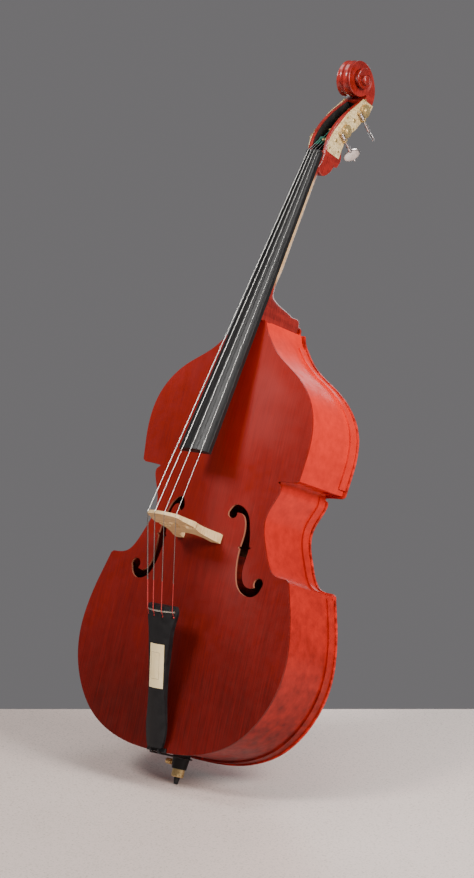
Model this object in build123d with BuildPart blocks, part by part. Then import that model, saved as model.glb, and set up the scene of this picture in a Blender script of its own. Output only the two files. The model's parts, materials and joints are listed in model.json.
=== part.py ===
from build123d import *
import math
import os

# A three-quarter-size double bass, in millimetres.
# +Z runs up the long axis of the body, the front faces -Y and +X is the viewer's right.
# The origin is the flat underside of the endpin's rubber tip, on the plane of symmetry.

os.makedirs("parts", exist_ok=True)

# Body
body_z = 70.0  # height of the body's bottom edge above the tip
body_length = 1108.0
body_depth = 205.0  # over both plates at their edges
plate = 6.0  # thickness of the top and the back
overhang = 8.0  # how far a plate's edge stands past the ribs
rib = 3.0
top_arch = 28.0
back_arch = 20.0
taper_start = 850.0  # the upper bout gets shallower from here
taper_end = 1060.0
taper_drop = 31.0
glue_gap = 0.5  # between a flat edge and an arched plate

# Neck and fingerboard
heel_y = -25.6  # edge line of the fingerboard where it passes the body's end
neck_lean = math.radians(13.94)
nut_run = 485.0  # from the body's end to the nut, along the neck
board_run = 371.0  # from the body's end down over the body
board_edge = 13.0
board_radius = 95.0
nut_half = 21.8
half_growth = 0.0301  # half width gained per millimetre down the neck

# Pegbox and scroll
head_lean = math.radians(31.7)
cheek_half = 30.0
slot_half = 17.0
scroll_radius = 51.0

# Tuning machines
machine_plate = 2.0
gear_radius = 17.0  # pitch radius
gear_teeth = 24
gear_width = 5.0
worm_radius = 5.2  # pitch radius
shaft_radius = 5.0
barrel_radius = 6.0
stem_radius = 3.0
worm_end = 17.0  # from the gear's middle to the short end of the worm's stem
key_reach = 62.0  # from there to the middle of the paddle
machine_x = cheek_half + machine_plate + 7.0  # middle plane of gears and worms
bracket = 4.0

# Strings, from the viewer's left: name, radius, side of its machine, place of its roller
strings = {
    "e": (1.40, -1, 40.0),
    "a": (1.10, -1, 130.0),
    "d": (0.90, 1, 175.0),
    "g": (0.70, 1, 83.0),
}
string_spread = [-1.5, -0.5, 0.5, 1.5]
nut_spacing = 10.0
bridge_spacing = 30.0

# Endpin
pin_y = 102.5
plug_radius = 20.0
rod_radius = 5.0
rod_length = 420.0
running = 0.05


def save(piece, label):
    # Depths are drawn from the front plate's edge, and written from the endpin's axis.
    piece.part.label = label
    export_step(piece.part.moved(Location((0, -pin_y, 0))), f"parts/{label}.step")


def smooth(t):
    t = min(max(t, 0.0), 1.0)
    return t * t * (3 - 2 * t)


def eased(knots, z):
    # A smooth curve through (z, value) knots, level at each knot.
    for (z0, v0), (z1, v1) in zip(knots, knots[1:]):
        if z <= z1:
            return v0 + (v1 - v0) * smooth((z - z0) / (z1 - z0))
    return knots[-1][1]


# Half width of the arching, at heights on the body
arch_half = [(0, 215), (275, 305), (560, 160), (650, 158), (810, 236), (900, 222), (1000, 130), (1085, 90)]


def arch(x, z, height):
    # A raised cosine across the body, scaled along it by a sine that is level at both ends.
    along = min(max((z - 25.0) / 1060.0, 0.0), 1.0)
    half = eased(arch_half, z)
    if abs(x) >= half:
        return 0.0
    rise = math.sin(math.pi * along) ** 1.2
    return height * rise * (0.5 + 0.5 * math.cos(math.pi * x / half))


def front_y(x, z):
    return -arch(x, z, top_arch)


def depth(z):
    return body_depth - taper_drop * smooth((z - taper_start) / (taper_end - taper_start))


def back_y(x, z):
    # The outer face of the back plate.
    return depth(z) + arch(x, z, back_arch)


def facing(y):
    # Sketches here read (across, up from the body's bottom edge), and extrude towards the front.
    return Plane(origin=(0, y, body_z), x_dir=(1, 0, 0), z_dir=(0, -1, 0))


# Sketches here read (depth from the front, up from the body's bottom edge), and extrude along X.
side_plane = Plane(origin=(0, 0, body_z), x_dir=(0, 1, 0), z_dir=(1, 0, 0))


def sheet(surface, y_shift, thickness):
    # A solid of even thickness behind an arched surface, well past the body's outline all round.
    rows = [
        [Vector(x, surface(x, z) + y_shift, z + body_z) for x in range(-360, 361, 30)]
        for z in range(-100, 1261, 20)
    ]
    face = Face.make_surface_from_array_of_points(rows)
    return extrude(face, amount=thickness, dir=(0, 1, 0))


# ---- Outline of the plates, right half, from the bottom up
with BuildLine(mode=Mode.PRIVATE) as lower_edge:
    Spline((0, 0), (135, 14), (226, 55), (296, 134), (333, 275), (315, 383), (288, 468),
           tangents=((1, 0), (-0.3, 0.95)))
with BuildLine(mode=Mode.PRIVATE) as waist_edge:
    Spline((281, 473), (235, 481), (197, 538), (179, 630), (200, 699), (244, 711.5),
           tangents=((-1, 0), (1, 0.05)))
with BuildLine(mode=Mode.PRIVATE) as upper_edge:
    Spline((252, 717), (261, 805), (246, 892), (180, 974), (95, 1032), (58, 1074), (38, 1120),
           tangents=((0.1, 1), (-0.25, 1)))
bouts = {"lower": lower_edge.edges()[0], "waist": waist_edge.edges()[0], "upper": upper_edge.edges()[0]}


def inset_points(edge, distance, start=0.0, end=1.0, count=16):
    # Points beside a bout's edge, a distance towards the inside.
    points = []
    for i in range(count + 1):
        t = start + (end - start) * i / count
        tangent = edge.tangent_at(t)
        points.append(edge.position_at(t) + Vector(-tangent.Y, tangent.X, 0).normalized() * distance)
    return points


def strip(edge, outer, inner, start=0.0, end=1.0):
    # A band that follows a bout, between two distances inside its edge.
    a = inset_points(edge, outer, start, end)
    b = inset_points(edge, inner, start, end)
    with BuildSketch() as band:
        with BuildLine():
            first = Spline(*a)
            second = Spline(*b)
            Line(first @ 1, second @ 1)
            Line(first @ 0, second @ 0)
        make_face()
    return band.sketch


def sides(shape, side):
    return shape if side > 0 else mirror(shape, about=Plane.YZ)


def within_body(front, back_gap, back_from=None):
    # The space between the front at a depth and a level below the tapered back edge.
    top = 1125
    steps = [z for z in range(int(taper_start), int(taper_end) + 1, 30)]
    near = [(depth(z) - back_gap, z) for z in steps]
    with BuildSketch() as region:
        with BuildLine():
            Polyline((depth(-30) - back_gap, -30), near[0])
            Spline(*near, tangents=((0, 1), (0, 1)))
            if back_from is None:
                Polyline(near[-1], (near[-1][0], top), (front, top), (front, -30),
                         (depth(-30) - back_gap, -30))
            else:
                far = [(depth(z) - back_from, z) for z in steps]
                Polyline(near[-1], (near[-1][0], top), (far[-1][0], top), far[-1])
                Spline(*reversed(far), tangents=((0, -1), (0, -1)))
                Polyline(far[0], (far[0][0], -30), (depth(-30) - back_gap, -30))
        make_face()
    return region.sketch


def f_hole(side):
    # Two round eyes joined by a curved stem with wings and the two small nicks at its middle.
    with BuildSketch() as hole:
        with BuildLine():
            outer = Spline((72, 615), (90, 636), (120, 622), (137, 585), (147, 530), (146, 468),
                           (162, 440), (190, 441))
            foot = Line(outer @ 1, (212, 447))
            inner = Spline(foot @ 1, (182, 415), (150, 425), (128, 466), (121, 530), (122, 590),
                           (110, 613), (93, 616))
            Line(inner @ 1, outer @ 0)
        make_face()
        with Locations((83, 612)):
            Circle(12)
        with Locations((199, 450)):
            Circle(14.5)
        with Locations((122, 532), (147, 534)):
            Rectangle(9, 5, rotation=8)
    return sides(hole.sketch, side)


# ---- Top and back plates
top_sheet = sheet(front_y, 0.0, plate)
back_sheet = sheet(back_y, -plate, plate)


def plate_outline():
    with BuildSketch() as outline:
        with BuildLine():
            add(lower_edge.line)
            Line((288, 468), (281, 473))
            add(waist_edge.line)
            Line((244, 711.5), (252, 717))
            add(upper_edge.line)
            Polyline((38, 1120), (0, 1120), (0, 0))
        make_face()
        mirror(about=Plane.YZ)
    return outline.sketch


outline = plate_outline()

with BuildPart() as top_plate:
    add(top_sheet)
    with BuildSketch(facing(40)):
        add(outline)
    extrude(amount=100, mode=Mode.INTERSECT)
    with BuildSketch(facing(40)):
        with Locations((0, body_length + 50)):
            Rectangle(200, 100)
        with Locations((0, 0)):
            Rectangle(64, 20)
        add(f_hole(1))
        add(f_hole(-1))
    extrude(amount=100, mode=Mode.SUBTRACT)
save(top_plate, "top_plate")

button_half = 24.0
button_top = 1131.0
with BuildPart() as back_plate:
    add(back_sheet)
    with BuildSketch(facing(240)):
        add(outline)
        with Locations((0, body_length + 50)):
            Rectangle(200, 100, mode=Mode.SUBTRACT)
        with Locations((0, button_top - 30)):
            Rectangle(2 * button_half, 30)
        with Locations((0, button_top - 18)):
            RectangleRounded(2 * button_half, 36, 14)
    extrude(amount=100, mode=Mode.INTERSECT)
save(back_plate, "back_plate")

# ---- Ribs: one strip of wood to a bout, each side
rib_space = within_body(plate + glue_gap, plate + glue_gap)
rib_parts = {}
for name in ("lower", "upper", "waist"):
    with BuildPart() as bout_rib:
        with BuildSketch(facing(240)):
            add(strip(bouts[name], overhang, overhang + rib))
        extrude(amount=250)
        with BuildSketch(side_plane):
            add(rib_space)
        extrude(amount=400, both=True, mode=Mode.INTERSECT)
        with BuildSketch(facing(240)):
            with Locations((0, body_length + 50)):
                Rectangle(700, 100)
        extrude(amount=250, mode=Mode.SUBTRACT)
        if name == "waist":
            add(rib_parts["lower"], mode=Mode.SUBTRACT)
            add(rib_parts["upper"], mode=Mode.SUBTRACT)
        if name == "lower":
            with BuildSketch(Plane.XY.offset(body_z)):
                with Locations((0, pin_y)):
                    Circle(plug_radius + 0.02)
            extrude(amount=30, mode=Mode.SUBTRACT)
    rib_parts[name] = bout_rib.part.solids().sort_by(SortBy.VOLUME)[-1]
for name, solid in rib_parts.items():
    for side, word in ((1, "right"), (-1, "left")):
        with BuildPart() as bout_rib:
            add(sides(solid, side))
        save(bout_rib, f"rib_{name}_{word}")


def lining_set(outer, inner, region, spans):
    # Bands that follow each bout, kept inside a region of the side view.
    with BuildPart() as linings:
        for name, (start, end) in spans.items():
            with BuildSketch(facing(240)):
                add(strip(bouts[name], outer, inner, start, end))
            extrude(amount=250)
        with BuildSketch(side_plane):
            add(region)
        extrude(amount=400, both=True, mode=Mode.INTERSECT)
        add(list(rib_parts.values()), mode=Mode.SUBTRACT)
        mirror(about=Plane.YZ)
    return linings


# Bands outside the ribs beside the back, and linings inside against both plates
outer_band = 26.0
inner_lining = 18.0
outer_spans = {"lower": (0.02, 0.985), "waist": (0.06, 0.92), "upper": (0.03, 0.9)}
inner_spans = {"lower": (0.11, 0.9), "waist": (0.18, 0.85), "upper": (0.13, 0.84)}
back_bands = lining_set(overhang - 4.6, overhang - 0.25,
                        within_body(0, plate + glue_gap, plate + outer_band), outer_spans)
save(back_bands, "outer_back_linings")
inner = (overhang + rib + 0.1, overhang + rib + 7)
back_linings = lining_set(*inner, within_body(0, plate + glue_gap, plate + inner_lining), inner_spans)
save(back_linings, "inner_back_linings")
with BuildPart() as top_linings:
    for name, (start, end) in inner_spans.items():
        with BuildSketch(facing(plate + glue_gap)):
            add(strip(bouts[name], *inner, start, end))
        extrude(amount=-inner_lining)
    add(list(rib_parts.values()), mode=Mode.SUBTRACT)
    mirror(about=Plane.YZ)
save(top_linings, "inner_top_linings")

# ---- Blocks inside the corners and at both ends
block_space = within_body(plate + 0.4, plate + 0.6)
with BuildPart() as corner_blocks:
    with BuildSketch(facing(240)):
        Polygon((274, 457), (279, 436), (250, 430), (205, 484), (212, 484), (226, 467.5), (250, 459),
                align=None)
        Polygon((236, 726), (238.5, 748), (208, 740), (186, 712), (191, 710.5), (206, 720), align=None)
    extrude(amount=250)
    with BuildSketch(side_plane):
        add(block_space)
    extrude(amount=400, both=True, mode=Mode.INTERSECT)
    add(list(rib_parts.values()), mode=Mode.SUBTRACT)
    add([back_linings.part, top_linings.part, back_bands.part], mode=Mode.SUBTRACT)
    block_solids = corner_blocks.part.solids().sort_by(SortBy.VOLUME)[-2:]
with BuildPart() as corner_blocks:
    add(block_solids)
    mirror(about=Plane.YZ)
save(corner_blocks, "corner_blocks")

with BuildPart() as neck_block:
    with BuildSketch(facing(240)):
        Polygon((-27, 1107.5), (27, 1107.5), (34, 1085), (58, 1052), (60, 1030),
                (-60, 1030), (-58, 1052), (-34, 1085), align=None)
    extrude(amount=250)
    with BuildSketch(side_plane):
        add(block_space)
    extrude(amount=400, both=True, mode=Mode.INTERSECT)
save(neck_block, "neck_block")

with BuildPart() as end_block:
    with BuildSketch(facing(240)):
        Polygon((-66, 16.4), (-40, 13.4), (0, 11.6), (40, 13.4), (66, 16.4), (62, 50), (-62, 50),
                align=None)
    extrude(amount=250)
    with BuildSketch(side_plane):
        add(within_body(plate + 9, plate + 9))
    extrude(amount=400, both=True, mode=Mode.INTERSECT)
    with BuildSketch(Plane.XY.offset(body_z)):
        with Locations((0, pin_y)):
            Circle(plug_radius + 0.02)
    extrude(amount=60, mode=Mode.SUBTRACT)
save(end_block, "end_block")

# ---- Bass bar and sound post
bar_x = -58.0
with BuildPart() as bass_bar:
    with BuildSketch(Plane(origin=(bar_x - 9, 0, body_z), x_dir=(0, 1, 0), z_dir=(1, 0, 0))):
        with BuildLine():
            under = [(front_y(bar_x, z) + plate - 3, z) for z in range(170, 951, 60)]
            crest = [(front_y(bar_x, 170 + 780 * t) + plate + 6 + 26 * math.sin(math.pi * t), 170 + 780 * t)
                     for t in (0, 0.15, 0.3, 0.5, 0.7, 0.85, 1)]
            Spline(*under)
            Line(under[-1], crest[-1])
            Spline(*reversed(crest))
            Line(crest[0], under[0])
        make_face()
    extrude(amount=18)
    add(top_sheet.moved(Location((0, 0.3, 0))), mode=Mode.SUBTRACT)
save(bass_bar, "bass_bar")

post_x, post_z, post_radius = 55.0, 528.0, 9.0
with BuildPart() as sound_post:
    post_front = front_y(post_x - post_radius, post_z + post_radius) + plate + 4.2
    post_back = back_y(post_x + post_radius, post_z - post_radius) - plate - 1.2
    with BuildSketch(facing(post_front)):
        with Locations((post_x, post_z)):
            Circle(post_radius)
    extrude(amount=post_front - post_back)
save(sound_post, "sound_post")

# ---- Neck with heel, pegbox and scroll, one piece
lean_sin, lean_cos = math.sin(neck_lean), math.cos(neck_lean)


def neck_plane(run):
    # Across the neck at a run from the body's end: local y points to the front.
    origin = (0, heel_y + run * lean_sin, body_z + body_length - 7 + run * lean_cos)
    return Plane(origin=origin, x_dir=(-1, 0, 0), z_dir=(0, lean_sin, lean_cos))


def half_at(run):
    return nut_half + half_growth * (nut_run - run)


head_plane = Plane(
    origin=(0, 107, 1587 + body_z),
    x_dir=(0, math.cos(head_lean), -math.sin(head_lean)),
    z_dir=(1, 0, 0),
)
scroll_at = (-38.0, 226.0)
screw_radius = 1.5
screw_spots = [(2, 8), (34, 28), (-8, 112), (30, 112), (5, 198), (34, 203)]


def roller_k(place):
    # How far behind the pegbox's base line a roller's axis lies.
    return 6 + (place - 40) * 0.12


heel_front = heel_y + 7 * lean_sin + board_edge * lean_cos + 0.2
heel_back = depth(button_top) - plate - 0.3

with BuildPart() as neck:
    for run, half, thick in ((30, half_at(30), 30), (nut_run - 14, half_at(nut_run), 18)):
        with BuildSketch(neck_plane(run)) as section:
            with BuildLine():
                Line((-half, -board_edge), (half, -board_edge))
                Spline((half, -board_edge), (0, -board_edge - thick), (-half, -board_edge),
                       tangents=((0, -1), (0, 1)))
            make_face()
    loft()
    # Heel, from the shaft down and back to the button
    with BuildSketch(side_plane):
        with BuildLine():
            Line((heel_front, body_length + 0.05), (heel_front + 28, body_length + 110))
            Line((heel_front + 28, body_length + 110), (40, 1215))
            Spline((40, 1215), (52, 1178), (86, 1160), (139, 1145), (heel_back, button_top),
                   tangents=((-0.1, -1), (0.8, -0.5)))
            Line((heel_back, button_top), (heel_back, body_length + 0.05))
            Line((heel_back, body_length + 0.05), (heel_front, body_length + 0.05))
        make_face()
    extrude(amount=36, both=True)
    with BuildSketch(Plane.XY.offset(body_z + body_length - 5)):
        with BuildLine():
            Polyline((-36.2, -40), (36.2, -40), (35, 20))
            Spline((35, 20), (24, 110), (21, 260))
            Line((21, 260), (-21, 260))
            Spline((-21, 260), (-24, 110), (-35, 20))
            Line((-35, 20), (-36.2, -40))
        make_face()
    extrude(amount=700, mode=Mode.INTERSECT)
    # Pegbox, its chin and the first turn of the scroll
    with BuildSketch(head_plane):
        with BuildLine():
            Polyline((63.5, -4.5), (30, -42), (-8, -30))
            Line((-8, -30), (-2, -8))
            Spline((-2, -8), (-14.7, 22), (-22, 65), (-19, 107), (-11, 147), (2, 195))
            Line((2, 195), (-38, 177))
            Line((-38, 177), (-38, 276))
            Spline((-38, 276), (5, 262), (42, 213), (41, 150), (34, 80), (44, 38), (63.5, 16))
            Line((63.5, 16), (63.5, -4.5))
        make_face()
    extrude(amount=cheek_half, both=True)
    for radius, half in ((scroll_radius, 22.0), (36.0, 31.0), (19.0, 43.0)):
        with BuildSketch(head_plane):
            with Locations(scroll_at):
                Circle(radius)
        extrude(amount=half, both=True)
    with BuildSketch(head_plane):
        with BuildLine():
            Spline((-12, -6), (-30, 65), (-24, 120), (-8, 188))
            Line((-8, 188), (20, 190))
            Spline((20, 190), (31, 172), (28, 130), (24, 80), (34, 25))
            Line((34, 25), (30, -2))
            Line((30, -2), (-12, -6))
        make_face()
    extrude(amount=slot_half, both=True, mode=Mode.SUBTRACT)
    # Trim whatever reaches in front of the fingerboard's seat
    with BuildSketch(neck_plane(0)):
        with Locations((0, 87)):
            Rectangle(200, 200)
    extrude(amount=nut_run + 8, mode=Mode.SUBTRACT)
    # Bores for the rollers, and holes for the machine plates' screws
    with BuildSketch(head_plane):
        for radius, side, place in strings.values():
            with Locations((roller_k(place), place)):
                Circle(shaft_radius + running)
    extrude(amount=cheek_half + 5, both=True, mode=Mode.SUBTRACT)
    for side in (1, -1):
        with BuildSketch(head_plane.offset(side * (cheek_half - 11))):
            with Locations(*screw_spots):
                Circle(screw_radius + 0.02)
        extrude(amount=side * 20, mode=Mode.SUBTRACT)
save(neck, "neck")

# ---- Strings, from the tailpiece over fret, bridge and nut to their rollers
nut_width = 7.0
nut_rise = 2.0  # of the string seats over the board's edge
nut_crown = board_radius - math.sqrt(board_radius**2 - nut_half**2)
head_in, head_up = head_plane.x_dir, head_plane.y_dir
tail_low = Vector(0, -15.5, 6.8 + body_z)
tail_high = Vector(0, -116.8, 347.6 + body_z)
tail_length = (tail_high - tail_low).length
tail_up = (tail_high - tail_low).normalized()
tail_out = Vector(0, -tail_up.Z, tail_up.Y)
tail_radius = 75.0
tail_spacing = 26.5
fret_run = tail_length - 14
slot_run = tail_length - 26
fret_height = 3.0
bridge_foot = Vector(0, -22, 543.5 + body_z)
bridge_up = Vector(0, -166, 25).normalized()
bridge_radius = 99.0
crown_height = 171.5  # of the string centres' arc, over the feet
groove_gap = 0.06
ball_radius = 3.2  # of the ball on a string's lower end


def tail_plane(run):
    # Across the tailpiece: local y points to the front.
    return Plane(origin=tail_low + tail_up * run, x_dir=(-1, 0, 0), z_dir=tail_up)


def tail_drop(x):
    return tail_radius - math.sqrt(tail_radius**2 - x**2)


def seat_height(x):
    return crown_height - bridge_radius + math.sqrt(bridge_radius**2 - x**2)


def stations(name, spread):
    # Where a string's centre line bends, from the tailpiece's slot to its roller.
    radius, side, place = strings[name]
    x = spread * tail_spacing
    slot = tail_plane(slot_run).origin + Vector(x, 0, 0) - tail_out * (tail_drop(x) + 4)
    fret = tail_plane(fret_run + 1.75).origin + Vector(x, 0, 0)
    fret += tail_out * (fret_height + radius - 0.4 - tail_drop(x))
    xb = spread * bridge_spacing
    over_bridge = bridge_foot + bridge_up * (seat_height(xb) - 2.2 + radius) + Vector(xb, 0, 0)
    xn = spread * nut_spacing
    nut_top = nut_crown + nut_rise - board_radius + math.sqrt(board_radius**2 - xn**2)
    over_nut = neck_plane(nut_run + nut_width / 2).origin + Vector(xn, 0, 0)
    over_nut += neck_plane(0).y_dir * (nut_top + radius - 0.3)
    roller = head_plane.origin + head_up * place + Vector(xn * 0.8, 0, 0)
    roller += head_in * (roller_k(place) - barrel_radius - radius - 0.35)
    return [slot, fret, over_bridge, over_nut, roller]


string_parts, string_grooves = {}, []
for spread, (name, (radius, side, place)) in zip(string_spread, strings.items()):
    for spare in (0, groove_gap):
        points = stations(name, spread)
        with BuildPart() as string:
            for a, b in zip(points, points[1:]):
                with BuildSketch(Plane(origin=a, z_dir=b - a)):
                    Circle(radius + spare)
                extrude(amount=(b - a).length)
            with Locations(*points[1:-1]):
                Sphere(radius + spare)
            with Locations(points[0]):
                Sphere(ball_radius + spare)
        if spare:
            string_grooves.append(string.part)
        else:
            save(string, f"string_{name}")

# ---- Fingerboard and nut
with BuildPart() as fingerboard:
    for run in (-board_run, nut_run):
        half = half_at(run)
        crown = board_radius - math.sqrt(board_radius**2 - half**2)
        with BuildSketch(neck_plane(run)):
            with BuildLine():
                Polyline((-half, 0), (-half, -board_edge), (half, -board_edge), (half, 0))
                ThreePointArc((half, 0), (0, crown), (-half, 0))
            make_face()
    loft()
save(fingerboard, "fingerboard")

with BuildPart() as nut:
    with BuildSketch(neck_plane(nut_run + 0.02)):
        with BuildLine():
            Polyline((-nut_half, nut_rise), (-nut_half, -board_edge + 0.02), (nut_half, -board_edge + 0.02),
                     (nut_half, nut_rise))
            ThreePointArc((nut_half, nut_rise), (0, nut_crown + nut_rise), (-nut_half, nut_rise))
        make_face()
    extrude(amount=nut_width)
    add(string_grooves, mode=Mode.SUBTRACT)
save(nut, "nut")

# ---- Tailpiece, on a line along its crown
tail_face = Plane(origin=tail_low, x_dir=(1, 0, 0), z_dir=tail_out)
with BuildPart() as tailpiece:
    with BuildSketch(tail_plane(0)):
        with Locations((0, -tail_radius)):
            Circle(tail_radius)
    extrude(amount=tail_length)
    with BuildSketch(tail_face):
        with BuildLine():
            right = Spline((22, 0), (29, 22), (27, 110), (26.5, 180), (32, 255), (42, 318),
                           (47.5, 345), (43, tail_length))
            Line(right @ 0, (0, 0))
            Line(right @ 1, (0, tail_length))
            Line((0, 0), (0, tail_length))
        make_face()
        mirror(about=Plane.YZ)
    extrude(amount=200, both=True, mode=Mode.INTERSECT)
    with BuildSketch(Plane(origin=tail_low, x_dir=tail_out, z_dir=(1, 0, 0))):
        Polygon((1, -1), (1, -tail_length - 1), (-26, -tail_length - 1), (-12.6, 0), align=None)
        Polygon((1, -1), (1, tail_length + 1), (-26, tail_length + 1), (-12.6, -1), align=None)
    extrude(amount=80, both=True, mode=Mode.INTERSECT)
    with BuildSketch(tail_face):
        for spread, (radius, side, place) in zip(string_spread, strings.values()):
            with Locations((spread * tail_spacing, slot_run)):
                Circle(ball_radius + 0.4)
            with Locations((spread * tail_spacing, slot_run + 5.5)):
                Rectangle(2 * radius + 0.8, 11)
    extrude(amount=80, both=True, mode=Mode.SUBTRACT)
save(tailpiece, "tailpiece")


def on_crown(run, length, half, height):
    # A strip that lies on the tailpiece's crown.
    with BuildPart() as piece:
        with BuildSketch(tail_plane(run)):
            with Locations((0, -tail_radius)):
                Circle(tail_radius + height)
                Circle(tail_radius + 0.02, mode=Mode.SUBTRACT)
            Rectangle(2 * half, 80, mode=Mode.INTERSECT)
        extrude(amount=length)
        add(string_grooves, mode=Mode.SUBTRACT)
    return piece


save(on_crown(fret_run, 3.5, 45, fret_height), "tailpiece_fret")
save(on_crown(150, 110, 22, 0.5), "tailpiece_label")

with BuildPart() as lower_saddle:
    with BuildSketch(facing(5.9)):
        with Locations((0, 4.2)):
            Rectangle(60, 11.2)
    extrude(amount=8.9)
save(lower_saddle, "lower_saddle")

wire_radius = 2.2
wire_z = body_z - 4.0
loop_x = 26.0
with BuildPart() as tail_wire:
    ends = [(12, -10.2, body_z + 5.6), (13, -8.0, wire_z), (loop_x, 50, wire_z),
            (loop_x, pin_y + loop_x, wire_z)]
    route = ends + [(-x, y, z) for x, y, z in reversed(ends)]
    with BuildLine():
        path = FilletPolyline(*route, radius=[4.5, 90, 25.5, 25.5, 90, 4.5])
    with BuildSketch(Plane(origin=path @ 0, z_dir=path % 0)):
        Circle(wire_radius)
    sweep(path=path.wire())
save(tail_wire, "tail_wire")

# ---- Bridge
bridge_face = Plane(origin=bridge_foot, x_dir=(1, 0, 0), z_dir=(0, -bridge_up.Z, bridge_up.Y))
with BuildPart() as bridge:
    with BuildSketch(bridge_face):
        with BuildLine():
            top = [(x, seat_height(x) - 1.6) for x in (0, 15, 30, 45)]
            crest = Spline(*top, (51.5, seat_height(51.5) - 4.5))
            side = Spline(crest @ 1, (54, 134), (63, 100), (57, 78), (58, 45), (66, 20), (71, 6))
            Polyline(side @ 1, (71, -4), (44, -4), (43, 8))
            arch_line = Spline((43, 8), (37, 26), (20, 42), (0, 46))
            Line(arch_line @ 1, crest @ 0)
        make_face()
        mirror(about=Plane.YZ)
        with Locations((36, 92), (-36, 92)):
            Ellipse(11, 17, mode=Mode.SUBTRACT)
        with Locations((46, 92), (-46, 92)):
            Rectangle(36, 7, mode=Mode.SUBTRACT)
        with Locations((-6.5, 104), (6.5, 104)):
            Circle(9, mode=Mode.SUBTRACT)
        with Locations((0, 90)):
            Rectangle(8, 22, mode=Mode.SUBTRACT)
    extrude(amount=14, both=True)
    with BuildSketch(Plane(origin=bridge_foot, x_dir=bridge_up, z_dir=(1, 0, 0))):
        Polygon((-12, -11.5), (-12, 11.5), (12, 11.5), (180, 3.5), (180, -3.5), (12, -11.5), align=None)
    extrude(amount=100, both=True, mode=Mode.INTERSECT)
    add(top_sheet.moved(Location((0, -0.3, 0))), mode=Mode.SUBTRACT)
    add(string_grooves, mode=Mode.SUBTRACT)
    bridge_solid = bridge.part.solids().sort_by(SortBy.VOLUME)[-1]
with BuildPart() as bridge:
    add(bridge_solid)
save(bridge, "bridge")

# ---- Tuning machines
pitch = 2 * math.pi * gear_radius / gear_teeth
thread_root, thread_crest = worm_radius - 1.6, worm_radius + 0.9
gear_root, gear_tip = gear_radius - 1.4, gear_radius + 0.9
paddle_turns = {"e": 33.0, "a": 70.0, "d": -38.0, "g": 52.0}

with BuildPart() as thread:
    # One start, right-handed, rooted a little inside the worm's core
    sunk = thread_root - 0.3
    with BuildLine():
        turn = Helix(pitch=pitch, height=4 * pitch, radius=sunk)
    with BuildSketch(Plane(origin=turn @ 0, x_dir=(1, 0, 0), z_dir=turn % 0)):
        Polygon((0, -0.8), (thread_crest - sunk, -0.55), (thread_crest - sunk, 0.55), (0, 0.8),
                align=None)
    sweep(path=turn, is_frenet=True)

for side, word in ((1, "right"), (-1, "left")):
    with BuildPart() as machine_side:
        with BuildSketch(head_plane.offset(side * cheek_half)):
            with BuildLine():
                front_edge = Spline((4.4, -3), (-9.5, 14), (-17, 42), (-17, 89), (-15, 125),
                                    (-9, 153), (-1.4, 194))
                Line(front_edge @ 1, (39.5, 212.6))
                rear = Spline((39.5, 212.6), (44, 188), (44, 168), (39, 140), (38, 118), (31, 92),
                              (33, 68), (41, 42), (50.6, 18))
                Line(rear @ 1, front_edge @ 0)
            make_face()
            for radius, machine, place in strings.values():
                if machine == side:
                    with Locations((roller_k(place), place)):
                        Circle(shaft_radius + running, mode=Mode.SUBTRACT)
            with Locations(*screw_spots):
                Circle(screw_radius + 0.02, mode=Mode.SUBTRACT)
        extrude(amount=side * machine_plate)
    save(machine_side, f"machine_plate_{word}")

with BuildPart() as plate_screws:
    for side in (1, -1):
        with BuildSketch(head_plane.offset(side * (cheek_half - 10))):
            with Locations(*screw_spots):
                Circle(screw_radius)
        extrude(amount=side * (10 + machine_plate))
        with BuildSketch(head_plane.offset(side * (cheek_half + machine_plate))):
            with Locations(*screw_spots):
                Circle(2 * screw_radius)
        extrude(amount=side * 1.2)
save(plate_screws, "plate_screws")

with BuildPart() as worm_brackets:
    for radius, side, place in strings.values():
        worm_s = place - side * (gear_radius + worm_radius)
        for end in (-1, 1):
            with BuildSketch(Plane(
                origin=head_plane.origin + head_up * worm_s + Vector(side * machine_x, 0, 0)
                + head_in * (roller_k(place) + end * 14 - bracket / 2),
                x_dir=(side, 0, 0), z_dir=head_in,
            )):
                with Locations((0.4, 0)):
                    Rectangle(8.7, 10)
                Circle(stem_radius + running, mode=Mode.SUBTRACT)
            extrude(amount=bracket)
save(worm_brackets, "worm_brackets")

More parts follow.
